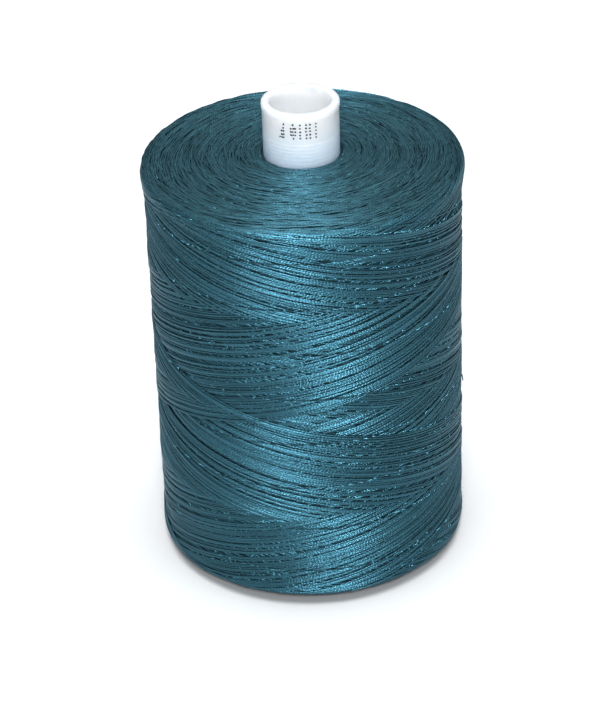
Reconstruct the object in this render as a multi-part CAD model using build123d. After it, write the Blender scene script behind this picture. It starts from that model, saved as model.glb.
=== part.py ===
from build123d import *
import os

# Spool of sewing thread: a straight plastic tube, a cross-wound cylindrical
# package of thread on it, and the loose tip of the thread's running end.
# Millimetres. +Z runs up the tube's axis, and the origin is the centre of the
# tube's lower rim, which stands on the table. The front of the spool faces -Y.

# Tube
tube_length = 97.7
tube_outer_diameter = 15.0
tube_wall = 1.45
rim_round = 0.45
bead_height = 1.3
bead_proud = 0.12
smooth_collar = 5.6
ring_pitch = 0.78
ring_depth = 0.04
ring_land = 0.30
rings_under_thread = 2

# Package of thread
package_diameter = 62.0
bare_tube_top = 10.7
bare_tube_bottom = 0.5
top_face_rise = 1.9
bottom_face_drop = 1.35
top_lip_proud = 0.8
bottom_lip_proud = 0.3
lip_height = 7.0
top_shoulder_round = 1.2
bottom_shoulder_round = 1.5
winding_clearance = 0.0

# Running end of the thread
thread_diameter = 0.29
tail_height = 36.4
tail_azimuth = -3.8
tail_root_depth = 0.8
tail_root_run = 3.4
tail_drop = 2.2
tail_lift = 0.08
tail_bend_radius = 0.45

tube_outer_radius = tube_outer_diameter / 2
tube_bore_radius = tube_outer_radius - tube_wall
waist_radius = package_diameter / 2
package_bore_radius = tube_outer_radius + winding_clearance

package_bottom_at_tube = bare_tube_bottom
package_bottom_edge = package_bottom_at_tube + bottom_face_drop
package_top_at_tube = tube_length - bare_tube_top
package_top_edge = package_top_at_tube - top_face_rise


def revolved(outline):
    """Solid of revolution about Z from a closed outline in the XZ plane."""
    return revolve(make_face(outline), Axis.Z)


def edges_at(solid, radius, height):
    """Circular edges of a turned solid at one radius and height."""
    found = []
    for edge in solid.edges().filter_by(GeomType.CIRCLE):
        same_height = abs(edge.arc_center.Z - height) < 1e-4
        same_radius = abs(edge.radius - radius) < 1e-4
        if same_height and same_radius:
            found.append(edge)
    return found


def ring_outline_points():
    """Points of the fine turned rings on the tube's outside, from the bottom up."""
    band_top = tube_length - smooth_collar
    band_bottom = package_top_at_tube - rings_under_thread * ring_pitch
    count = int((band_top - band_bottom) / ring_pitch)
    groove = ring_pitch - ring_land
    points = []
    for number in range(count, 0, -1):
        low = band_top - number * ring_pitch
        points.append((tube_outer_radius, low))
        points.append((tube_outer_radius - ring_depth, low + groove / 2))
        points.append((tube_outer_radius, low + groove))
    return points


def make_tube():
    """Straight tube with rounded rims, a beaded upper rim and fine rings under the collar."""
    bead_radius = tube_outer_radius + bead_proud
    bead_bottom = tube_length - bead_height
    points = [(tube_bore_radius, 0), (tube_outer_radius, 0)]
    points += ring_outline_points()
    points.append((tube_outer_radius, bead_bottom - bead_proud))
    points.append((bead_radius, bead_bottom))
    points.append((bead_radius, tube_length))
    points.append((tube_bore_radius, tube_length))
    outline = Polyline([(x, 0, z) for x, z in points], close=True)
    tube = revolved(outline)
    rims = edges_at(tube, tube_bore_radius, 0)
    rims += edges_at(tube, tube_outer_radius, 0)
    rims += edges_at(tube, tube_bore_radius, tube_length)
    rims += edges_at(tube, bead_radius, tube_length)
    return fillet(rims, rim_round)


def make_wound_body():
    """Package of thread: coned end faces, a straight waist and lips that swell at both shoulders."""
    top_radius = waist_radius + top_lip_proud
    bottom_radius = waist_radius + bottom_lip_proud
    waist_low = (waist_radius, 0, package_bottom_edge + lip_height)
    waist_high = (waist_radius, 0, package_top_edge - lip_height)
    shoulder_low = (bottom_radius, 0, package_bottom_edge)
    shoulder_high = (top_radius, 0, package_top_edge)
    bore_low = (package_bore_radius, 0, package_bottom_at_tube)
    bore_high = (package_bore_radius, 0, package_top_at_tube)
    outline = Wire([
        Line(bore_low, shoulder_low).edge(),
        TangentArc(waist_low, shoulder_low, tangent=(0, 0, -1)).edge(),
        Line(waist_low, waist_high).edge(),
        TangentArc(waist_high, shoulder_high, tangent=(0, 0, 1)).edge(),
        Line(shoulder_high, bore_high).edge(),
        Line(bore_high, bore_low).edge(),
    ])
    body = revolved(outline)
    body = fillet(edges_at(body, top_radius, package_top_edge), top_shoulder_round)
    return fillet(edges_at(body, bottom_radius, package_bottom_edge), bottom_shoulder_round)


def make_tail():
    """Loose tip of the running end: it comes out from under the winding and hangs down."""
    outside = waist_radius + thread_diameter / 2 + tail_lift
    side = Rotation(0, 0, tail_azimuth)
    root = Vector(waist_radius - tail_root_depth, -tail_root_run, tail_height + 0.3)
    bend = Vector(outside, 0, tail_height)
    tip = Vector(outside + tail_lift, 0.1, tail_height - tail_drop)
    path = FilletPolyline(root, bend, tip, radius=tail_bend_radius)
    start = Plane(origin=path @ 0, z_dir=path % 0)
    tail = sweep(start * Circle(thread_diameter / 2), path=path)
    return side * tail


os.makedirs("parts", exist_ok=True)

spool_tube = make_tube()
thread_tail = make_tail()
thread_package = make_wound_body() - thread_tail

export_step(spool_tube, "parts/spool_tube.step")
export_step(thread_package, "parts/thread_package.step")
export_step(thread_tail, "parts/thread_tail.step")
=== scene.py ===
import math

import bpy
import numpy as np
from mathutils import Matrix, Vector


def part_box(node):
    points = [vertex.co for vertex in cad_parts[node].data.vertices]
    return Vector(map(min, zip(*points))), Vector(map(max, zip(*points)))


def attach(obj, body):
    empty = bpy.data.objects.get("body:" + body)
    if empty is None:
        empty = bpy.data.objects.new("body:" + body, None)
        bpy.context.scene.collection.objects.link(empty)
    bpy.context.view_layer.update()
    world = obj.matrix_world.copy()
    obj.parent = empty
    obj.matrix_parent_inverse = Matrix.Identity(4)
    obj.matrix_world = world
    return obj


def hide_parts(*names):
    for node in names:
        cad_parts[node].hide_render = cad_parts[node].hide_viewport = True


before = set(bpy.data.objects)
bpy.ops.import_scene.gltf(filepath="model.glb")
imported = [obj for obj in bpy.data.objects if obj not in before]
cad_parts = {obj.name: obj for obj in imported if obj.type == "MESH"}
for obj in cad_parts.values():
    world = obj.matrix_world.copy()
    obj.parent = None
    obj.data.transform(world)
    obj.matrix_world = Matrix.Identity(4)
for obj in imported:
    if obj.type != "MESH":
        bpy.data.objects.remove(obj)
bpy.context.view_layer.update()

# A spool of sewing thread. Lengths are in millimetres until a mesh is made, and MM turns them
# into metres. The camera, the lights, the table and the depths set in materials are in metres.
# The front of the spool faces -Y. Angles round the axis are measured from the front, positive
# towards +X. Distance s runs along the package's outline in a plane through the axis: out over
# the bottom face, up the side and in over the top face.
MM = 0.001
SEED = 11

_, tube_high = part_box("spool_tube")
package_low, package_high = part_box("thread_package")
tail_low, tail_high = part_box("thread_tail")

# Tube
TUBE_TOP = tube_high.z / MM
TUBE_RADIUS = 7.5
BORE_RADIUS = 6.05
RIM_ROUND = 0.45
BEAD_HEIGHT = 1.3
BEAD_PROUD = 0.12
COLLAR = 5.6
RING_PITCH = 0.78
RING_LAND = 0.30
RING_DEPTH = 0.04

# Package of thread
PACKAGE_BOTTOM = package_low.z / MM
PACKAGE_TOP = package_high.z / MM
WAIST_RADIUS = 31.0
TOP_RISE = 1.9
BOTTOM_DROP = 1.35
TOP_LIP = 0.8
BOTTOM_LIP = 0.3
LIP_HEIGHT = 7.0
SHOULDER_SOFTNESS = 1.2
SHOULDER_REACH = 4.0

# Thread
THREAD_WIDTH = 0.30
THREAD_THICK = 0.235
PLY_PITCH = 1.25  # one full turn of the two plies
TWIST_SPREAD = 0.3  # of the usual twist, from the loosest thread to the tightest
WIDTH_SPREAD = 0.05  # of the usual width, from the thinnest thread to the thickest
NOISE_SHIFT = 50  # threads start up to this far apart in the pattern of their material

# How threads bed down
SINK = 0.045  # a thread on the side presses this far into others, and further at its turns
FACE_SINK = 0.10  # and on an end face this far
STACK_LIMIT = 0.15  # the most that a thread lies above or below the bed's mean around it
LEVEL_BLUR = 3.0  # the finished bed is levelled over about this distance
MOST_PROUD = 0.16  # the most that a thread's middle stands above the package's outline
SEEN_MARGIN = 0.012  # a thread this far under the bed's surface still shows
CORE_DEPTH = 0.75  # from the outline down to the core under the threads

# Winding on the side
TURNS = 2.0  # of the package, to one traverse of the guide
REVERSAL = 0.08  # share of a traverse that the guide speeds up for, and then slows down for
THREADS_PER_COVER = 186
COVERS = 2.75
NEWEST_CROSSING = math.radians(-17.0)
WIDE_SHARE = 0.10  # of the threads, which are laid wider apart than the rest
WIDE_LEAST = 1.12  # times the usual spacing
WIDE_MORE = 0.32  # and up to this much more
LOW_ENDS = (-0.6, 0.1, 1.6)  # a traverse ends this far past the lower corner: least, usual, most
HIGH_ENDS = (-0.8, 0.3, 3.2)  # and past the upper one
SIDE_WAVE = 30.0  # length of a thread's slow bends
SIDE_DRIFT = 0.035  # and their size
SIDE_SCATTER = 0.02  # how far a whole thread is off its place
COLUMN = 0.25  # the bed's step round the axis
CELL = 0.05  # and along the outline
HALF = 3  # cells that a thread covers on each side of its middle
TAUT_COLUMNS = 16  # a bump holds a taut thread up for as far as this on each side
KEEP_EVERY = 6  # columns between two points of a finished thread
SHOWN_PAD = 3  # columns added at each end of a stretch that shows
GAP_COLUMNS = 4  # a stretch that shows for no more than this is seen through a gap
GAP_DEPTH = 0.12  # and is sunk this much further, to glint less
SIDE_BANDS = 9
SIDES = 6

# Winding on the end faces
FACE_STEP = math.radians(0.5)  # the bed's step round the axis
FACE_RINGS = 2
FACE_ARCS_PER_MM = 50  # of the way from the tube to the shoulder
FACE_SPAN = (math.radians(65), math.radians(125))  # of an arc, least and most
FACE_SCATTER = 0.35  # how far a whole arc is off its place
FACE_SLANT = 0.065  # of an arc, as a slope
FACE_WAVE = 6.0  # length of an arc's slow bends
FACE_DRIFT = 0.13  # and their size
FACE_EDGE = 0.5  # arcs are laid this far past the shoulder's corner
FACE_TAUT_RADIUS = 60.0  # of the drum that an arc is pulled over
FACE_TAUT_REACH = 2.5  # a bump holds an arc up for this far on each side
FACE_DIVE = 0.34  # the ends of an arc go down into the package by this much
FACE_DIVE_OVER = 0.20  # over this share of each half
FACE_SHOWN_PAD = 2
FACE_POINT_GAP = 1.0  # between two points of a finished arc

# Fuzz
FUZZ_SIDE = 6500
FUZZ_FACE = 6500
FIBRE_RADIUS = 0.011
FIBRE_TAPER = 0.35  # the tip's share of that
FIBRE_POINTS = 5
FIBRE_SHORTEST = 0.25

# Loose tip of the running end
TIP_ANGLE = math.radians(86.2)
TIP_SWEEP = math.radians(-6.0)  # round the axis, from its end back to where it starts
TIP_DROP = 0.2  # the tip starts this far under the top of the CAD tail
TIP_BURIED = 0.35  # in the package where it starts
TIP_RISE = 0.75  # from there to its end
TIP_LENGTH = 4.0
TIP_TONE = 0.9
TIP_POINTS = 15
TIP_SIDES = 10

# Camera, in metres from the spool's base centre, fitted to the photograph
CAMERA_BACK = 0.46334
CAMERA_HEIGHT = 0.32222
CAMERA_PITCH = math.radians(31.396)
CAMERA_YAW = math.radians(-0.216)
CAMERA_ROLL = math.radians(-2.002)
CAMERA_LENS = 134.13
CAMERA_SENSOR = 36.0

# Soft light from all round, and the display's gamma
ROOM_COLOUR = (0.96, 0.98, 1.0, 1)
ROOM_STRENGTH = 0.18
DISPLAY_GAMMA = 0.88


# The white table, the dark thread and the milky tube each take their own share of a light
GROUPS = {name: bpy.data.collections.new(name) for name in ("table", "thread", "tube")}
for group in GROUPS.values():
    bpy.context.scene.collection.children.link(group)


# ---------------------------------------------------------------- camera, light

def make_camera():
    data = bpy.data.cameras.new("camera")
    data.sensor_width = CAMERA_SENSOR
    data.lens = CAMERA_LENS
    data.clip_start = 0.01
    camera = bpy.data.objects.new("camera", data)
    bpy.context.scene.collection.objects.link(camera)
    sideways = math.sin(CAMERA_YAW)
    ahead = math.cos(CAMERA_YAW)
    level = math.cos(CAMERA_PITCH)
    view = Vector((sideways * level, ahead * level, -math.sin(CAMERA_PITCH)))
    right = Vector((ahead, -sideways, 0))
    up = right.cross(view)
    turn_right = math.cos(CAMERA_ROLL) * right + math.sin(CAMERA_ROLL) * up
    turn_up = math.cos(CAMERA_ROLL) * up - math.sin(CAMERA_ROLL) * right
    axes = Matrix((turn_right, turn_up, -view)).transposed()
    place = Vector((0, -CAMERA_BACK, CAMERA_HEIGHT))
    camera.matrix_world = Matrix.Translation(place) @ axes.to_4x4()
    bpy.context.scene.camera = camera


# name, place, what it points at, size in metres, and watts on each group it lights
MIDDLE = (0, 0, 0.05)
LIGHTS = (
    ("overhead_softbox", (0.0, 0.0, 0.95), (0, 0, 0), 0.90, {"table": 12.0, "thread": 10.5, "tube": 10.5}),
    ("front_softbox", (0.0, -0.62, 0.50), MIDDLE, 0.20, {"table": 2.8, "thread": 10.2, "tube": 2.8}),
    ("low_front_softbox", (0.0, -0.65, 0.20), (0, 0, 0.09), 0.12, {"tube": 1.5}),
    ("left_back_softbox", (-0.60, 0.45, 0.50), MIDDLE, 0.35, {"thread": 0.6}),
    ("right_back_softbox", (0.60, 0.45, 0.50), MIDDLE, 0.35, {"thread": 0.6}),
)


def add_area_light(name, place, aim, size, power, group):
    """A round softbox that lights only the pieces of one group."""
    data = bpy.data.lights.new(name, "AREA")
    data.shape = "DISK"
    data.size = size
    data.energy = power
    light = bpy.data.objects.new(name, data)
    bpy.context.scene.collection.objects.link(light)
    light.location = place
    direction = Vector(aim) - Vector(place)
    light.rotation_euler = direction.to_track_quat("-Z", "Y").to_euler()
    light.light_linking.receiver_collection = GROUPS[group]


def make_studio():
    world = bpy.data.worlds.new("studio")
    bpy.context.scene.world = world
    world.use_nodes = True
    background = world.node_tree.nodes["Background"]
    background.inputs["Color"].default_value = ROOM_COLOUR
    background.inputs["Strength"].default_value = ROOM_STRENGTH
    for name, place, aim, size, powers in LIGHTS:
        for group, power in powers.items():
            add_area_light(f"{name}_{group}", place, aim, size, power, group)
    bpy.context.scene.view_settings.view_transform = "Standard"
    bpy.context.scene.view_settings.gamma = DISPLAY_GAMMA


# ---------------------------------------------------------------- mesh helpers

def add_piece(name, mesh, material, slot):
    """A piece of the spool; slot, tube_plastic or thread as in the record's material slots, picks the
    group of lights that it takes.
    """
    piece = bpy.data.objects.new(name, mesh)
    GROUPS["thread" if slot == "thread" else "tube"].objects.link(piece)
    mesh.materials.append(material)
    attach(piece, "root")
    return piece


def mesh_from_arrays(name, verts, corners, starts, flat=0):
    """A mesh from vertex places in mm, face corners and where each face starts; the last flat
    faces are flat-shaded and the others smooth."""
    mesh = bpy.data.meshes.new(name)
    mesh.vertices.add(len(verts))
    mesh.vertices.foreach_set("co", (verts * MM).astype(np.float32).ravel())
    mesh.loops.add(len(corners))
    mesh.loops.foreach_set("vertex_index", corners.astype(np.int32))
    mesh.polygons.add(len(starts))
    mesh.polygons.foreach_set("loop_start", starts.astype(np.int32))
    mesh.polygons.foreach_set("use_smooth", np.arange(len(starts)) < len(starts) - flat)
    mesh.update(calc_edges=True)
    return mesh


def add_uv(mesh, name, places):
    layer = mesh.uv_layers.new(name=name, do_init=False)
    layer.uv.foreach_set("vector", places.astype(np.float32).ravel())


def unit(vectors):
    length = np.linalg.norm(vectors, axis=-1, keepdims=True)
    return vectors / np.maximum(length, 1e-9)


def sweep_runs(name, runs, sides=SIDES):
    """One mesh of closed threads. A run is its points, outward normals, distance along and tone,
    then its places on the bake map and the map's two directions there, in map units per mm."""
    points = np.concatenate([run[0] for run in runs])
    outward = np.concatenate([run[1] for run in runs])
    along = np.concatenate([run[2] for run in runs])
    counts = np.array([len(run[0]) for run in runs])
    tone = np.repeat([run[3] for run in runs], counts)
    bake = np.concatenate([run[4] for run in runs])
    bake_ways = np.concatenate([run[5] for run in runs])
    total = len(points)
    last = np.cumsum(counts) - 1
    first = last - counts + 1
    ahead = np.arange(total) + 1
    behind = np.arange(total) - 1
    ahead[last] = last
    behind[first] = first
    chord = unit(points[ahead] - points[behind])
    tangent = chord.copy()
    tangent[first] = unit(2 * chord[first] - chord[first + 1])
    tangent[last] = unit(2 * chord[last] - chord[last - 1])
    across = unit(np.cross(outward, tangent))
    lift = unit(np.cross(tangent, across))
    swell = (1 + WIDTH_SPREAD * (tone - 0.5))[:, None, None]
    # the outward half comes last, to be the half that a bake keeps
    turn = np.pi + 2 * np.pi * np.arange(sides) / sides
    ring = across[:, None, :] * (np.cos(turn) * THREAD_WIDTH / 2)[None, :, None]
    ring = ring + lift[:, None, :] * (np.sin(turn) * THREAD_THICK / 2)[None, :, None]
    ring = ring * swell
    verts = (points[:, None, :] + ring).reshape(-1, 3)

    body = np.setdiff1d(np.arange(total), last)
    side = np.arange(sides)
    after = (side + 1) % sides
    low = body[:, None] * sides
    quads = np.stack([low + side, low + after, low + sides + after, low + sides + side], -1)
    start_caps = first[:, None] * sides + side[::-1]
    end_caps = last[:, None] * sides + side
    corners = np.concatenate([quads.ravel(), start_caps.ravel(), end_caps.ravel()])
    quad_starts = np.arange(quads.shape[0] * sides) * 4
    cap_starts = quads.size + np.arange(2 * len(runs)) * sides
    starts = np.concatenate([quad_starts, cap_starts])
    mesh = mesh_from_arrays(name, verts, corners, starts, 2 * len(runs))

    v_low = np.broadcast_to(side / sides, quads.shape[:2])
    v_high = v_low + 1 / sides
    v_quads = np.stack([v_low, v_high, v_high, v_low], -1).ravel()
    v_caps = np.full(2 * start_caps.size, 0.5)
    owner = corners // sides
    add_uv(mesh, "yarn", np.stack([along[owner], np.concatenate([v_quads, v_caps])], -1))
    spread = (bake[:, None, :] + ring @ bake_ways.transpose(0, 2, 1)).reshape(-1, 2)[corners]
    # the map wraps round at the back of the spool, and each face is kept whole there
    for faces in (spread[:quads.size].reshape(-1, 4, 2), spread[quads.size:].reshape(-1, sides, 2)):
        faces[..., 0] -= np.floor(faces[..., 0].mean(1, keepdims=True))
    add_uv(mesh, "OFBake", np.clip(spread, 0, 1))
    tones = mesh.attributes.new("tone", "FLOAT", "POINT")
    tones.data.foreach_set("value", np.repeat(tone, sides).astype(np.float32))
    return mesh


def lathe(name, outline, segments):
    """A closed solid of revolution from a closed outline of (radius, height) in mm."""
    outline = np.array(outline, float)
    count = len(outline)
    turn = 2 * np.pi * np.arange(segments) / segments
    x = outline[None, :, 0] * np.sin(turn)[:, None]
    y = -outline[None, :, 0] * np.cos(turn)[:, None]
    z = np.broadcast_to(outline[None, :, 1], x.shape)
    verts = np.stack([x, y, z], -1).reshape(-1, 3)
    spoke = np.arange(segments)[:, None] * count
    following = (np.arange(segments)[:, None] + 1) % segments * count
    here = np.arange(count)[None, :]
    there = (here + 1) % count
    quads = np.stack([spoke + here, following + here, following + there, spoke + there], -1)
    return mesh_from_arrays(name, verts, quads.ravel(), np.arange(quads.shape[0] * count) * 4)


# ---------------------------------------------------------------- package surface

def blurred(values, sigma):
    """values smoothed by a Gaussian of sigma samples, with both ends held."""
    reach = int(4 * sigma)
    kernel = np.exp(-0.5 * (np.arange(-reach, reach + 1) / sigma) ** 2)
    padded = np.pad(values, reach, mode="edge")
    return np.convolve(padded, kernel / kernel.sum(), "valid")


class Skin:
    """The package's outline, read by distance s along it: bottom face, side, top face."""

    SAMPLE = 0.05

    def __init__(self):
        low_edge = PACKAGE_BOTTOM + BOTTOM_DROP
        high_edge = PACKAGE_TOP - TOP_RISE
        height = np.arange(low_edge, high_edge, self.SAMPLE)
        near_low = np.clip((low_edge + LIP_HEIGHT - height) / LIP_HEIGHT, 0, 1)
        near_high = np.clip((height - high_edge + LIP_HEIGHT) / LIP_HEIGHT, 0, 1)
        side = WAIST_RADIUS + BOTTOM_LIP * near_low**2 + TOP_LIP * near_high**2
        spread = np.arange(0, 1, self.SAMPLE / (side[0] - TUBE_RADIUS))
        bottom_r = TUBE_RADIUS + (side[0] - TUBE_RADIUS) * spread
        bottom_z = PACKAGE_BOTTOM + BOTTOM_DROP * spread
        spread = np.arange(0, 1, self.SAMPLE / (side[-1] - TUBE_RADIUS))
        top_r = side[-1] - (side[-1] - TUBE_RADIUS) * spread
        top_z = high_edge + TOP_RISE * spread
        sigma = SHOULDER_SOFTNESS / self.SAMPLE
        self.radius = blurred(np.concatenate([bottom_r, side, top_r]), sigma)
        self.height = blurred(np.concatenate([bottom_z, height, top_z]), sigma)
        steps = np.hypot(np.diff(self.radius), np.diff(self.height))
        self.s = np.concatenate([[0], np.cumsum(steps)])
        self.length = self.s[-1]
        self.low_corner = self.s[len(bottom_r)]
        self.high_corner = self.s[len(bottom_r) + len(side)]
        slope_r = np.gradient(self.radius)
        slope_z = np.gradient(self.height)
        size = np.hypot(slope_r, slope_z)
        self.out_r = slope_z / size
        self.out_z = -slope_r / size

    def radius_at(self, s):
        return np.interp(s, self.s, self.radius)

    def place(self, s, angle, lift):
        """Points on the surface, raised by lift, and their outward normals."""
        out_r = np.interp(s, self.s, self.out_r)
        out_z = np.interp(s, self.s, self.out_z)
        radius = self.radius_at(s) + lift * out_r
        height = np.interp(s, self.s, self.height) + lift * out_z
        sine, cosine = np.sin(angle), np.cos(angle)
        points = np.stack([radius * sine, -radius * cosine, height], -1)
        normals = np.stack([out_r * sine, -out_r * cosine, out_z], -1)
        return points, normals


# ---------------------------------------------------------------- laying thread

def travel(phase):
    """Where the guide is, 0 to 1, over one traverse: steady, with a smooth reversal at each end."""
    speed = 1 / (1 - REVERSAL)
    middle = speed * (phase - REVERSAL / 2)
    start = speed * phase**2 / (2 * REVERSAL)
    finish = 1 - speed * (1 - phase) ** 2 / (2 * REVERSAL)
    return np.where(phase < REVERSAL, start, np.where(phase > 1 - REVERSAL, finish, middle))


def wander(rng, count, step, wave, size):
    """A slow random drift of count samples, step apart, with bends about wave long."""
    knots = max(4, int(count * step / wave) + 3)
    value = rng.normal(0, size, knots)
    at = np.linspace(0, knots - 1.001, count)
    index = at.astype(int)
    part = at - index
    part = part * part * (3 - 2 * part)
    return value[index] * (1 - part) + value[index + 1] * part


def pulled_taut(height, radius, step, reach):
    """A tight thread over bumpy ground on a drum: it leaves each bump along a tangent."""
    held = height.copy()
    for k in range(1, reach + 1):
        drop = (k * step) ** 2 / (2 * radius)
        held[k:] = np.maximum(held[k:], height[:-k] - drop)
        held[:-k] = np.maximum(held[:-k], height[k:] - drop)
    for _ in range(3):
        held[1:-1] = 0.25 * held[:-2] + 0.5 * held[1:-1] + 0.25 * held[2:]
    return held


class Bed:
    """The height of the thread laid so far, on a grid of columns round the axis and cells across."""

    ACROSS = np.arange(-HALF, HALF + 1)
    AROUND = np.arange(-27, 28, 6)
    BEFORE = 8

    def __init__(self, columns, low, high):
        self.columns = columns
        self.low = low
        self.cells = int((high - low) / CELL)
        self.height = np.zeros((columns, self.cells), np.float32)
        part = self.ACROSS * CELL / (THREAD_WIDTH / 2)
        self.arch = THREAD_THICK / 2 * np.sqrt(np.clip(1 - part**2, 0, 1))
        self.laid = []

    def lay(self, way, across, sink, step, radius, reach, dive=0.0):
        """Lays one thread over the bed, along way (columns, counted on past a full turn)."""
        column = way % self.columns
        cell = np.floor((across - self.low) / CELL).astype(int)
        cell = np.clip(cell, HALF, self.cells - HALF - 1)
        spots = (column[:, None], cell[:, None] + self.ACROSS)
        under = self.height[spots]
        wide = np.clip(cell[:, None] + self.AROUND, 0, self.cells - 1)
        mean = self.height[column[:, None], wide].mean(1)
        window = 2 * self.BEFORE + 1
        mean = np.pad(mean, self.BEFORE, mode="edge")
        mean = np.convolve(mean, np.ones(window) / window, "valid")
        rest = (under + self.arch)[:, HALF - 1:HALF + 2].max(1) - sink
        centre = pulled_taut(np.maximum(rest, THREAD_THICK / 2), radius, step, reach)
        centre = mean + STACK_LIMIT * np.tanh((centre - mean) / STACK_LIMIT) - dive
        self.height[spots] = np.maximum(under, centre[:, None] + self.arch)
        self.laid.append((way, across, cell, centre))

    def seen(self, thread):
        """Which samples of a laid thread still show."""
        way, _, cell, centre = thread
        column = way % self.columns
        top = centre[:, None] + self.arch
        ground = self.height[column[:, None], cell[:, None] + self.ACROSS]
        return (top >= ground - SEEN_MARGIN)[:, 1:-1].any(1)

    def level(self, column_width):
        """The finished bed's height smoothed over a few millimetres, round the axis and across."""
        pad = int(4 * LEVEL_BLUR / CELL)
        ground = np.pad(self.height, ((0, 0), (pad, pad)), mode="edge")
        around = np.fft.fftfreq(ground.shape[0], column_width)[:, None]
        across = np.fft.rfftfreq(ground.shape[1], CELL)[None, :]
        keep = np.exp(-2 * (np.pi * LEVEL_BLUR) ** 2 * (around**2 + across**2))
        laid = ground > THREAD_THICK / 2
        total = np.fft.irfft2(np.fft.rfft2(ground * laid) * keep, ground.shape)
        share = np.fft.irfft2(np.fft.rfft2(laid.astype(float)) * keep, ground.shape)
        return (total / np.maximum(share, 0.02))[:, pad:-pad]


def stretches(mask, pad):
    """(start, end) of each stretch of True, grown by pad samples each way."""
    grown = np.convolve(mask.astype(float), np.ones(2 * pad + 1), "same") > 0
    change = np.diff(np.concatenate([[0], grown.astype(int), [0]]))
    return list(zip(np.flatnonzero(change == 1), np.flatnonzero(change == -1)))


def cut_where(start, end, labels):
    """Cuts a stretch wherever the label changes; neighbours share the sample at the cut."""
    inside = np.flatnonzero(np.diff(labels[start:end])) + start + 1
    edges = [start, *inside, end]
    return [(a, min(b + 1, end)) for a, b in zip(edges[:-1], edges[1:])]


def wind_side(skin):
    """Lays the outer covers of the winding, traverse by traverse, over the package's side."""
    rng = np.random.default_rng(SEED)
    columns = int(round(2 * np.pi * WAIST_RADIUS / COLUMN))
    bed = Bed(columns, skin.low_corner - SHOULDER_REACH, skin.high_corner + SHOULDER_REACH)
    per_traverse = int(round(TURNS * columns))
    phase = (np.arange(per_traverse) + 0.5) / per_traverse
    lift = travel(phase)
    speed = np.clip(np.gradient(lift) * per_traverse * (1 - REVERSAL), 0.05, 1)
    sink = THREAD_THICK - (THREAD_THICK - SINK) * speed
    pairs = int(THREADS_PER_COVER * COVERS)
    wide = rng.random(pairs) < WIDE_SHARE
    spacing = np.where(wide, WIDE_LEAST + WIDE_MORE * rng.random(pairs), 1.0)
    spacing *= pairs / spacing.sum()
    ahead = np.cumsum(spacing) * 2 * np.pi / THREADS_PER_COVER
    ahead -= ahead[-1]
    for number in range(2 * pairs):
        rising = number % 2 == 0
        low = skin.low_corner - rng.triangular(*LOW_ENDS)
        high = skin.high_corner + rng.triangular(*HIGH_ENDS)
        part = lift if rising else 1 - lift
        across = low + (high - low) * part
        across = across + wander(rng, per_traverse, COLUMN, SIDE_WAVE, SIDE_DRIFT)
        across = across + rng.normal(0, SIDE_SCATTER)
        turned = -np.pi * TURNS if rising else np.pi * TURNS
        start = (NEWEST_CROSSING + ahead[number // 2] + turned) / (2 * np.pi) * columns
        whole = int(round(start))
        across = across - (start - whole) * np.gradient(across)
        way = whole + np.arange(per_traverse)
        bed.lay(way, across, sink, COLUMN, WAIST_RADIUS, TAUT_COLUMNS)
    return bed


def side_runs(skin, bed):
    """The parts of the side's threads that show, as runs for each band of height."""
    rng = np.random.default_rng(SEED + 1)
    edges = np.linspace(bed.low, bed.low + bed.cells * CELL, SIDE_BANDS + 1)
    level = bed.level(COLUMN)
    bands = [[] for _ in range(SIDE_BANDS)]
    for thread in bed.laid:
        way, across, cell, centre = thread
        band = np.clip(np.searchsorted(edges, across) - 1, 0, SIDE_BANDS - 1)
        turns = way / bed.columns + 0.5
        tone = rng.random()
        offset = rng.random() * NOISE_SHIFT
        for start, end in stretches(bed.seen(thread), SHOWN_PAD):
            deep = GAP_DEPTH if end - start <= GAP_COLUMNS + 2 * SHOWN_PAD else 0.0
            for a, b in cut_where(start, end, band):
                pick = np.unique(np.append(np.arange(a, b, KEEP_EVERY), b - 1))
                if len(pick) < 2:
                    continue
                home = band[a]
                turn = turns[pick]
                raised = centre[pick] - level[way[pick] % bed.columns, cell[pick]]
                raised = np.minimum(raised, MOST_PROUD) - deep
                points, normals = skin.place(across[pick], (turn - 0.5) * 2 * np.pi, raised)
                band_width = edges[home + 1] - edges[home]
                bake = np.stack([turn, (across[pick] - edges[home]) / band_width], -1)
                around = np.cross((0, 0, 1), points)
                around = around / (2 * np.pi * np.sum(around**2, 1, keepdims=True))
                up = unit(np.cross(normals, around)) / band_width
                ways = np.stack([around, up], 1)
                bands[home].append((points, normals, pick * COLUMN + offset, tone, bake, ways))
    return bands


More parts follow.
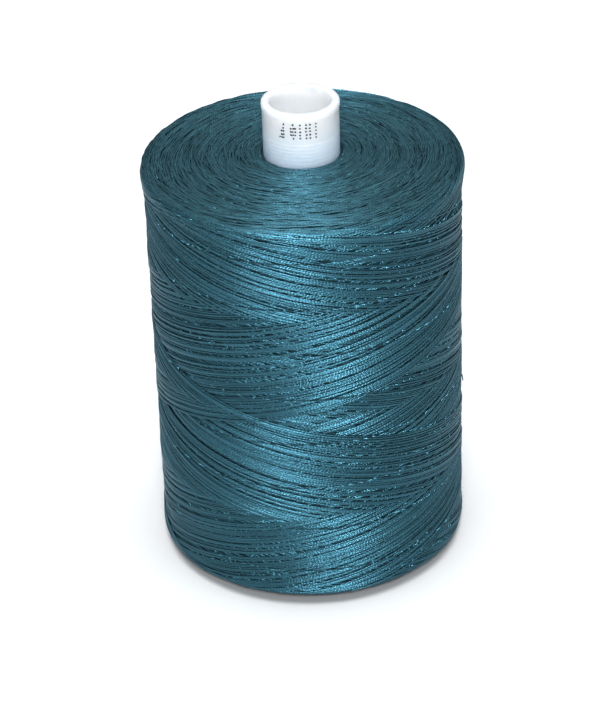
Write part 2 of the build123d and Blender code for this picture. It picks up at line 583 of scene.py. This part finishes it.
def wind_face(skin, top):
    """Lays the arcs of thread that show on one end face, from the tube outwards."""
    rng = np.random.default_rng(SEED + (2 if top else 3))
    columns = int(round(2 * np.pi / FACE_STEP))
    width = skin.length - skin.high_corner if top else skin.low_corner
    bed = Bed(columns, -1.0, width + 1.5)
    count = int(width * FACE_ARCS_PER_MM)
    starts = rng.uniform(0.0, width + FACE_EDGE, count) + rng.normal(0, FACE_SCATTER, count)
    for place in np.sort(starts):
        radius = TUBE_RADIUS + max(place, 0.2)
        span = rng.uniform(*FACE_SPAN) * (1 + 3 / radius)
        samples = int(span / FACE_STEP)
        part = np.linspace(-1, 1, samples)
        slant = rng.normal(0, FACE_SLANT) * radius * span / 2
        bow = (0.25 + 0.02 * radius) * rng.random()
        across = place + slant * part - bow * (1 - part**2)
        step = radius * FACE_STEP
        across = across + wander(rng, samples, step, FACE_WAVE, FACE_DRIFT)
        across = np.clip(across, 0.14, width + 0.6)
        way = rng.integers(columns) + np.arange(samples)
        near_end = (np.abs(part) - (1 - FACE_DIVE_OVER)) / FACE_DIVE_OVER
        dive = FACE_DIVE * np.clip(near_end, 0, 1) ** 1.5
        reach = int(FACE_TAUT_REACH / step) + 1
        bed.lay(way, across, FACE_SINK, step, FACE_TAUT_RADIUS, reach, dive)
    return bed, width


def face_runs(skin, bed, width, top):
    """The parts of an end face's arcs that show, as runs for each ring of the face."""
    rng = np.random.default_rng(SEED + (4 if top else 5))
    level = bed.level(FACE_STEP * WAIST_RADIUS / 2)
    rings = [[] for _ in range(FACE_RINGS)]
    for thread in bed.laid:
        way, across, cell, centre = thread
        tone = rng.random()
        offset = rng.random() * NOISE_SHIFT
        radius = TUBE_RADIUS + across.mean()
        step = max(1, int(round(FACE_POINT_GAP / (radius * FACE_STEP))))
        for a, b in stretches(bed.seen(thread), FACE_SHOWN_PAD):
            pick = np.unique(np.append(np.arange(a, b, step), b - 1))
            if len(pick) < 2:
                continue
            angle = way[pick] * FACE_STEP
            s = skin.length - across[pick] if top else across[pick]
            raised = centre[pick] - level[way[pick] % bed.columns, cell[pick]]
            points, normals = skin.place(s, angle, np.minimum(raised, MOST_PROUD))
            ways = np.eye(3)[:2] / (2.1 * (TUBE_RADIUS + width))
            bake = 0.5 + points @ ways.T
            ways = np.broadcast_to(ways, (len(pick), 2, 3))
            ring = min(int(FACE_RINGS * across[a] / width), FACE_RINGS - 1)
            along = pick * radius * FACE_STEP + offset
            rings[ring].append((points, normals, along, tone, bake, ways))
    return rings


# ---------------------------------------------------------------- fuzz

def fuzz_runs(rng, skin, s, count):
    """Stray fibres: each starts in the surface at distance s and curls away from it."""
    angle = rng.uniform(0, 2 * np.pi, count)
    base, normal = skin.place(s, angle, np.zeros(count))
    along = np.stack([np.cos(angle), np.sin(angle), np.zeros(count)], -1)
    across = np.cross(normal, along)
    heading = rng.normal(0, 0.5, count)
    lie = along * np.cos(heading)[:, None] + across * np.sin(heading)[:, None]
    lie = lie * np.where(rng.random(count) < 0.5, 1, -1)[:, None]
    length = rng.gamma(2.2, 0.30, count) + FIBRE_SHORTEST
    rise = rng.uniform(0.10, 0.9, count)
    curl = rng.normal(0, 0.5, count)
    part = np.linspace(0, 1, FIBRE_POINTS)[None, :, None]
    size = length[:, None, None]
    path = base[:, None, :] + lie[:, None, :] * size * (part - 0.25 * part**2)
    path = path + normal[:, None, :] * size * (rise[:, None, None] * part * (1 - 0.45 * part))
    path = path + np.cross(lie, normal)[:, None, :] * size * curl[:, None, None] * part**2 * 0.5
    return path, normal


def fuzz_mesh(name, path, normal, radius):
    """Three-sided hairs along each path, tapering to the tip."""
    count, rings, _ = path.shape
    tangent = unit(np.gradient(path, axis=1))
    across = unit(np.cross(normal[:, None, :], tangent))
    lift = np.cross(tangent, across)
    turn = 2 * np.pi * np.arange(3) / 3
    taper = np.linspace(1, FIBRE_TAPER, rings)[None, :, None, None] * radius
    ring = across[:, :, None, :] * np.cos(turn)[:, None] + lift[:, :, None, :] * np.sin(turn)[:, None]
    verts = (path[:, :, None, :] + ring * taper).reshape(-1, 3)
    hair = np.arange(count)[:, None, None] * rings * 3
    level = np.arange(rings - 1)[None, :, None] * 3
    side = np.arange(3)[None, None, :]
    after = (side + 1) % 3
    low = hair + level
    quads = np.stack([low + side, low + after, low + 3 + after, low + 3 + side], -1).reshape(-1)
    base = np.arange(count)[:, None] * rings * 3
    caps = np.concatenate([(base + [2, 1, 0]).ravel(), (base + (rings - 1) * 3 + [0, 1, 2]).ravel()])
    starts = np.arange(len(quads) // 4) * 4
    starts = np.concatenate([starts, len(quads) + np.arange(2 * count) * 3])
    mesh = mesh_from_arrays(name, verts, np.concatenate([quads, caps]), starts, 2 * count)

    # each hair has a square of the bake map to itself
    squares = math.ceil(math.sqrt(count))
    corner = np.stack([np.arange(count) % squares, np.arange(count) // squares], -1)[:, None, None, None]
    share = np.array([[0, 0], [0, 1], [1, 1], [1, 0]])
    cell = np.stack(np.meshgrid(np.arange(rings - 1), np.arange(3), indexing="ij"), -1)
    inside = (cell[:, :, None] + share) / (rings - 1, 3)
    on_sides = (corner + 0.05 + 0.9 * inside).reshape(-1, 2)
    on_caps = np.repeat(corner.reshape(-1, 2), 3, 0) + [[0.04, 0.5]]
    on_tips = np.repeat(corner.reshape(-1, 2), 3, 0) + [[0.96, 0.5]]
    add_uv(mesh, "OFBake", np.concatenate([on_sides, on_caps, on_tips]) / squares)
    return mesh


# ---------------------------------------------------------------- materials

class Nodes:
    """Short names for building a material's node tree."""

    def __init__(self, name):
        self.material = bpy.data.materials.new(name)
        self.material.use_nodes = True
        self.tree = self.material.node_tree
        self.shader = self.tree.nodes["Principled BSDF"]

    def add(self, kind, **settings):
        node = self.tree.nodes.new(kind)
        for key, value in settings.items():
            setattr(node, key, value)
        return node

    def link(self, out, into):
        self.tree.links.new(out, into)

    def maths(self, operation, first, second=None, clamp=False):
        node = self.add("ShaderNodeMath", operation=operation, use_clamp=clamp)
        for socket, value in zip(node.inputs, (first, second)):
            if value is None:
                continue
            if isinstance(value, (int, float)):
                socket.default_value = value
            else:
                self.link(value, socket)
        return node.outputs[0]

    def noise(self, scale, detail, vector, roughness=0.5):
        node = self.add("ShaderNodeTexNoise")
        node.inputs["Scale"].default_value = scale
        node.inputs["Detail"].default_value = detail
        node.inputs["Roughness"].default_value = roughness
        self.link(vector, node.inputs["Vector"])
        return node.outputs["Fac"]

    def ramp(self, factor, stops):
        node = self.add("ShaderNodeValToRGB")
        elements = node.color_ramp.elements
        elements[0].position, elements[0].color = stops[0][0], (*stops[0][1], 1)
        elements[1].position, elements[1].color = stops[-1][0], (*stops[-1][1], 1)
        for position, colour in stops[1:-1]:
            elements.new(position).color = (*colour, 1)
        self.link(factor, node.inputs["Fac"])
        return node.outputs["Color"]

    def bump(self, height, distance, strength=1.0):
        node = self.add("ShaderNodeBump")
        node.inputs["Distance"].default_value = distance
        node.inputs["Strength"].default_value = strength
        self.link(height, node.inputs["Height"])
        self.link(node.outputs["Normal"], self.shader.inputs["Normal"])

    def set(self, **values):
        for name, value in values.items():
            self.shader.inputs[name.replace("_", " ")].default_value = value


# Colours of the thread from its grooves, darkened there as painted shade, to its plies, and the tint of
# its gloss. The end faces, whose turns are looser and fuzzier than those on the side, take a paler
# copy with half the gloss: painted light and shade that dims the top's highlight and lightens its flanks.
SIDE_THREAD = ((0.001, 0.0025, 0.003), (0.004, 0.010, 0.012), (0.016, 0.043, 0.050))
SIDE_GLOSS = (0.18, 0.54, 0.72, 1)
FACE_THREAD = ((0.003, 0.006, 0.008), (0.011, 0.026, 0.032), (0.038, 0.098, 0.118))
FACE_GLOSS = (0.09, 0.27, 0.36, 1)


def thread_material(name, palette, gloss_tint):
    """Two-ply spun polyester: diagonal plies, fine fibres and a soft sheen."""
    m = Nodes(name)
    yarn = m.add("ShaderNodeUVMap", uv_map="yarn")
    split = m.add("ShaderNodeSeparateXYZ")
    m.link(yarn.outputs["UV"], split.inputs[0])
    along, around = split.outputs[0], split.outputs[1]
    tone = m.add("ShaderNodeAttribute", attribute_name="tone")
    # no two threads have quite the same twist
    twist = m.maths("MULTIPLY", tone.outputs["Fac"], TWIST_SPREAD / PLY_PITCH)
    twist = m.maths("ADD", twist, (1 - TWIST_SPREAD / 2) / PLY_PITCH)
    twist = m.maths("MULTIPLY", along, twist)
    phase = m.maths("ADD", twist, around)
    ply = m.maths("FRACT", m.maths("MULTIPLY", phase, 2.0))
    centred = m.maths("SUBTRACT", m.maths("MULTIPLY", ply, 2.0), 1.0)
    crown = m.maths("SUBTRACT", 1.0, m.maths("MULTIPLY", centred, centred))
    weave = m.add("ShaderNodeCombineXYZ")
    m.link(m.maths("MULTIPLY", phase, 9.0), weave.inputs[0])
    m.link(m.maths("MULTIPLY", along, 0.9), weave.inputs[1])
    fibres = m.noise(1.0, 3.0, weave.outputs[0], 0.65)
    stretch = m.add("ShaderNodeCombineXYZ")
    m.link(m.maths("MULTIPLY", along, 0.22), stretch.inputs[0])
    drift = m.noise(1.0, 2.0, stretch.outputs[0])
    # The base colour runs dark in the grooves between the plies: painted shade, mixed with the fibres, the
    # slow drift along the thread and each thread's own tone.
    shade = m.maths("MULTIPLY", crown, 0.40)
    shade = m.maths("ADD", shade, m.maths("MULTIPLY", fibres, 0.40))
    shade = m.maths("ADD", shade, m.maths("MULTIPLY", drift, 0.30))
    shade = m.maths("ADD", shade, m.maths("MULTIPLY", tone.outputs["Fac"], 0.18), clamp=True)
    colour = m.ramp(shade, list(zip((0.30, 0.65, 0.95), palette)))
    m.link(colour, m.shader.inputs["Base Color"])
    gloss = m.add("ShaderNodeMapRange")
    m.link(shade, gloss.inputs["Value"])
    gloss.inputs["From Min"].default_value = 0.35
    gloss.inputs["From Max"].default_value = 0.85
    gloss.inputs["To Min"].default_value = 0.42
    gloss.inputs["To Max"].default_value = 0.25
    m.link(gloss.outputs["Result"], m.shader.inputs["Roughness"])
    relief = m.maths("ADD", crown, m.maths("MULTIPLY", fibres, 0.30))
    m.bump(relief, 0.000034)
    m.set(IOR=2.1, Specular_IOR_Level=1.0, Specular_Tint=gloss_tint)
    return m.material


def core_material():
    """The thread under the outer covers, seen only through gaps: dark, with fine turns."""
    m = Nodes("inner_winding")
    place = m.add("ShaderNodeTexCoord")
    stretch = m.add("ShaderNodeMapping")
    stretch.inputs["Scale"].default_value = (150, 150, 3400)
    m.link(place.outputs["Object"], stretch.inputs["Vector"])
    turns = m.noise(1.0, 2.0, stretch.outputs["Vector"])
    colour = m.ramp(turns, [(0.3, (0.004, 0.016, 0.021)), (0.7, (0.012, 0.045, 0.058))])
    m.link(colour, m.shader.inputs["Base Color"])
    m.bump(turns, 0.0002)
    m.set(Roughness=0.8, Specular_IOR_Level=0.2)
    return m.material


def fuzz_material():
    m = Nodes("stray_fibre")
    place = m.add("ShaderNodeTexCoord")
    drift = m.noise(300.0, 1.0, place.outputs["Object"])
    colour = m.ramp(drift, [(0.3, SIDE_THREAD[1]), (0.7, (0.035, 0.15, 0.17))])
    m.link(colour, m.shader.inputs["Base Color"])
    m.set(Roughness=0.45, Specular_IOR_Level=0.5)
    return m.material


# The milky wall, darker and bluer low down: painted shade from the package with its teal painted in as
# reflected light, up to the plastic's own colour and a greyed rim
PACKAGE_SHADE = (0.54, 0.64, 0.76)
FAINT_PACKAGE_SHADE = (0.79, 0.86, 0.97)
CLEAR = (0.90, 0.94, 0.99)
# painted shade: the top of the rim is greyed so that the lights don't wash it out
RIM_SHADE = (0.64, 0.68, 0.72)


def tube_material():
    """Natural polyethylene: milky, softly glossy, with draw marks along the wall and slight mottle."""
    m = Nodes("milky_plastic")
    place = m.add("ShaderNodeTexCoord")
    height = m.add("ShaderNodeSeparateXYZ")
    m.link(place.outputs["Object"], height.inputs[0])
    # painted light and shade: the wall is dark where it meets the package's top and light towards the rim,
    # with the plastic's own mottle mixed in; the bore is lifted to the plastic's own colour
    lit_and_mottle = m.maths("SUBTRACT", height.outputs[2], PACKAGE_TOP * MM)
    lit_and_mottle = m.maths("MULTIPLY", lit_and_mottle, 1 / ((TUBE_TOP - PACKAGE_TOP) * MM))
    mottle = m.noise(160.0, 3.0, place.outputs["Object"])
    lit_and_mottle = m.maths("ADD", lit_and_mottle, m.maths("MULTIPLY", m.maths("SUBTRACT", mottle, 0.5), 0.25))
    flat = m.add("ShaderNodeVectorMath", operation="MULTIPLY")
    flat.inputs[1].default_value = (1, 1, 0)
    m.link(place.outputs["Object"], flat.inputs[0])
    radius = m.add("ShaderNodeVectorMath", operation="LENGTH")
    m.link(flat.outputs[0], radius.inputs[0])
    bore = m.maths("LESS_THAN", radius.outputs["Value"], (BORE_RADIUS + RIM_ROUND) * MM)
    lit_and_mottle = m.maths("MAXIMUM", lit_and_mottle, m.maths("MULTIPLY", bore, 0.9), clamp=True)
    colour = m.ramp(lit_and_mottle, [(0.0, PACKAGE_SHADE), (0.55, FAINT_PACKAGE_SHADE), (0.9, CLEAR), (0.99, RIM_SHADE)])
    m.link(colour, m.shader.inputs["Base Color"])
    stretch = m.add("ShaderNodeMapping")
    stretch.inputs["Scale"].default_value = (900, 900, 25)
    m.link(place.outputs["Object"], stretch.inputs["Vector"])
    drawn = m.noise(1.0, 2.0, stretch.outputs["Vector"])
    m.bump(drawn, 0.00006, 0.5)
    m.set(Roughness=0.32, Specular_IOR_Level=0.3)
    m.set(Subsurface_Weight=0.85, Subsurface_Radius=(0.8, 0.9, 1.0), Subsurface_Scale=0.005)
    return m.material


def ink_material():
    m = Nodes("black_ink")
    place = m.add("ShaderNodeTexCoord")
    spread = m.noise(6000.0, 2.0, place.outputs["Object"])
    colour = m.ramp(spread, [(0.35, (0.006, 0.006, 0.009)), (0.75, (0.035, 0.036, 0.045))])
    m.link(colour, m.shader.inputs["Base Color"])
    m.set(Roughness=0.5)
    return m.material


def floor_material():
    m = Nodes("white_table")
    place = m.add("ShaderNodeTexCoord")
    grain = m.noise(40.0, 2.0, place.outputs["Object"])
    colour = m.ramp(grain, [(0.3, (0.86, 0.87, 0.88)), (0.7, (0.88, 0.89, 0.90))])
    m.link(colour, m.shader.inputs["Base Color"])
    m.set(Roughness=0.6, Specular_IOR_Level=0.2)
    return m.material


# ---------------------------------------------------------------- pieces

def rounded(corner_r, corner_z, radius, start, steps=6):
    """Points of a quarter round about a centre, from the start angle in degrees."""
    turn = np.radians(start + np.linspace(0, 90, steps))
    return [(corner_r + radius * math.cos(a), corner_z + radius * math.sin(a)) for a in turn]


def tube_outline():
    """The tube's section, anticlockwise from the bottom of the bore."""
    bead = TUBE_RADIUS + BEAD_PROUD
    bead_low = TUBE_TOP - BEAD_HEIGHT
    outline = rounded(BORE_RADIUS + RIM_ROUND, RIM_ROUND, RIM_ROUND, 180)
    outline += rounded(TUBE_RADIUS - RIM_ROUND, RIM_ROUND, RIM_ROUND, 270)
    band_top = TUBE_TOP - COLLAR
    groove = RING_PITCH - RING_LAND
    for number in range(int((band_top - PACKAGE_TOP) / RING_PITCH) + 2, 0, -1):
        low = band_top - number * RING_PITCH
        for share in (0.0, 0.2, 0.5, 0.8, 1.0):
            depth = RING_DEPTH * math.sin(math.pi * share) ** 2
            outline.append((TUBE_RADIUS - depth, low + groove * share))
    outline.append((TUBE_RADIUS, bead_low - 2 * BEAD_PROUD))
    outline.append((bead - 0.3 * BEAD_PROUD, bead_low - 0.3 * BEAD_PROUD))
    outline.append((bead, bead_low + BEAD_PROUD))
    outline += rounded(bead - RIM_ROUND, TUBE_TOP - RIM_ROUND, RIM_ROUND, 0)
    outline += rounded(BORE_RADIUS + RIM_ROUND, TUBE_TOP - RIM_ROUND, RIM_ROUND, 90)
    return outline


def make_tube():
    mesh = lathe("spool_tube_moulded", tube_outline(), 180)
    piece = add_piece("spool_tube_moulded", mesh, tube_material(), "tube_plastic")
    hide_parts("spool_tube")


# The ink-jet code on the collar, as plain shapes of dots in place of lettering.
STEPS = ("..#.", "..#.", ".##.", ".##.", "###.")
LOZENGE = ("..#.", ".###", ".###", ".###", "..#.")
BARS = ("#..#", "#..#", "#..#", "#..#", "#..#")
MARKS = (STEPS, LOZENGE, BARS, BARS)
MARK_ANGLES = (-28.2, -13.3, 2.9, 17.7)
MARK_TOP = 95.7
DOT_ROWS = 0.70
DOT_COLUMNS = 0.40
DOT_RADIUS = 0.22
DOT_THICK = 0.02
DOT_FOOT = -0.02  # the dot's underside, just inside the wall
DOT_STRAY = 0.03


def dot_faces(angle, height, radius, sides=10):
    """One dot of ink on the tube, a low disc with a sloping edge, as verts and faces. A vert is
    its angle round the tube, its height and how far it stands out of the wall."""
    verts = [(angle, height, DOT_THICK)]
    for share, thick in ((0.75, DOT_THICK), (1.0, DOT_FOOT)):
        for k in range(sides):
            turn = 2 * math.pi * k / sides
            sweep = radius * share * math.cos(turn) / TUBE_RADIUS
            verts.append((angle + sweep, height + radius * share * math.sin(turn), thick))
    verts.append((angle, height, DOT_FOOT))
    faces = []
    for k in range(sides):
        k2 = (k + 1) % sides
        faces.append((0, 1 + k, 1 + k2))
        faces.append((1 + k, 1 + sides + k, 1 + sides + k2, 1 + k2))
        faces.append((1 + 2 * sides, 1 + sides + k2, 1 + sides + k))
    return verts, faces


def make_ink():
    rng = np.random.default_rng(SEED + 6)
    verts, faces = [], []
    for mark, middle in zip(MARKS, MARK_ANGLES):
        for row, line in enumerate(mark):
            for place, dot in enumerate(line):
                if dot != "#":
                    continue
                angle = math.radians(middle) + (place - 1.5) * DOT_COLUMNS / TUBE_RADIUS
                angle += rng.normal(0, DOT_STRAY) / TUBE_RADIUS
                height = MARK_TOP - row * DOT_ROWS + rng.normal(0, DOT_STRAY)
                some, round_it = dot_faces(angle, height, DOT_RADIUS * rng.uniform(0.85, 1.12))
                base = len(verts)
                for a, z, thick in some:
                    r = TUBE_RADIUS + thick
                    verts.append((r * math.sin(a) * MM, -r * math.cos(a) * MM, z * MM))
                faces += [tuple(base + i for i in face) for face in round_it]
    mesh = bpy.data.meshes.new("ink_marks")
    mesh.from_pydata(verts, [], faces)
    mesh.polygons.foreach_set("use_smooth", np.ones(len(faces), bool))
    add_piece("ink_marks", mesh, ink_material(), "tube_plastic")


def make_core(skin):
    """The closed body under the outer covers of thread."""
    pick = np.arange(0, len(skin.s), 12)
    radius = (skin.radius - CORE_DEPTH * skin.out_r)[pick]
    height = (skin.height - CORE_DEPTH * skin.out_z)[pick]
    outline = [(TUBE_RADIUS, height[0]), *zip(radius[1:], height[1:]), (TUBE_RADIUS, height[-1])]
    mesh = lathe("inner_winding", outline, 144)
    piece = add_piece("inner_winding", mesh, core_material(), "thread")
    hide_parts("thread_package")


def make_winding(skin, side_thread, face_thread):
    for number, runs in enumerate(side_runs(skin, wind_side(skin)), 1):
        name = f"winding_side_{number}"
        add_piece(name, sweep_runs(name, runs), side_thread, "thread")
    for name, top in (("winding_top", True), ("winding_bottom", False)):
        bed, width = wind_face(skin, top)
        for ring, runs in enumerate(face_runs(skin, bed, width, top), 1):
            add_piece(f"{name}_{ring}", sweep_runs(f"{name}_{ring}", runs), face_thread, "thread")


def make_fuzz(skin):
    rng = np.random.default_rng(SEED + 7)
    material = fuzz_material()
    low = rng.uniform(skin.low_corner - 1, skin.length / 2, FUZZ_SIDE)
    high = rng.uniform(skin.length / 2, skin.high_corner + 1, FUZZ_SIDE)
    top = skin.length - (skin.length - skin.high_corner) * rng.uniform(0.02, 1, FUZZ_FACE) ** 0.7
    for name, s in (("fuzz_side_low", low), ("fuzz_side_high", high), ("fuzz_top", top)):
        path, normal = fuzz_runs(rng, skin, s, len(s))
        add_piece(name, fuzz_mesh(name, path, normal, FIBRE_RADIUS), material, "thread")


def make_tail(skin, material):
    """The loose tip of the running end, out from under the winding at the right-hand side."""
    top_z = tail_high.z / MM
    tip_z = tail_low.z / MM
    part = np.linspace(0, 1, TIP_POINTS)
    angle = TIP_ANGLE + TIP_SWEEP * (1 - part) ** 2
    height = top_z - TIP_DROP - (top_z - tip_z) * part**2
    lift = -TIP_BURIED + TIP_RISE * part**0.6
    s = np.interp(height, skin.height, skin.s)
    points, normals = skin.place(s, angle, lift)
    bake = np.stack([0.05 + 0.9 * part, np.full(TIP_POINTS, 0.5)], -1)
    ways = np.broadcast_to([(0, 0, 0), (0, 2.5, 0)], (TIP_POINTS, 2, 3))
    run = (points, normals, part * TIP_LENGTH, TIP_TONE, bake, ways)
    mesh = sweep_runs("thread_tip", [run], TIP_SIDES)
    piece = add_piece("thread_tip", mesh, material, "thread")
    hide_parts("thread_tail")


def make_floor():
    half = 2.5
    mesh = bpy.data.meshes.new("table_top")
    corners = [(-half, -half, 0), (half, -half, 0), (half, half, 0), (-half, half, 0)]
    mesh.from_pydata(corners, [], [(0, 1, 2, 3)])
    mesh.materials.append(floor_material())
    floor = bpy.data.objects.new("table_top", mesh)
    GROUPS["table"].objects.link(floor)


make_camera()
make_studio()
make_floor()
skin = Skin()
side_thread = thread_material("teal_sewing_thread", SIDE_THREAD, SIDE_GLOSS)
# the end faces' paler, less glossy copy paints light and shade onto the top
face_thread = thread_material("teal_sewing_thread_ends", FACE_THREAD, FACE_GLOSS)
make_tube()
make_ink()
make_core(skin)
make_winding(skin, side_thread, face_thread)
make_fuzz(skin)
make_tail(skin, side_thread)
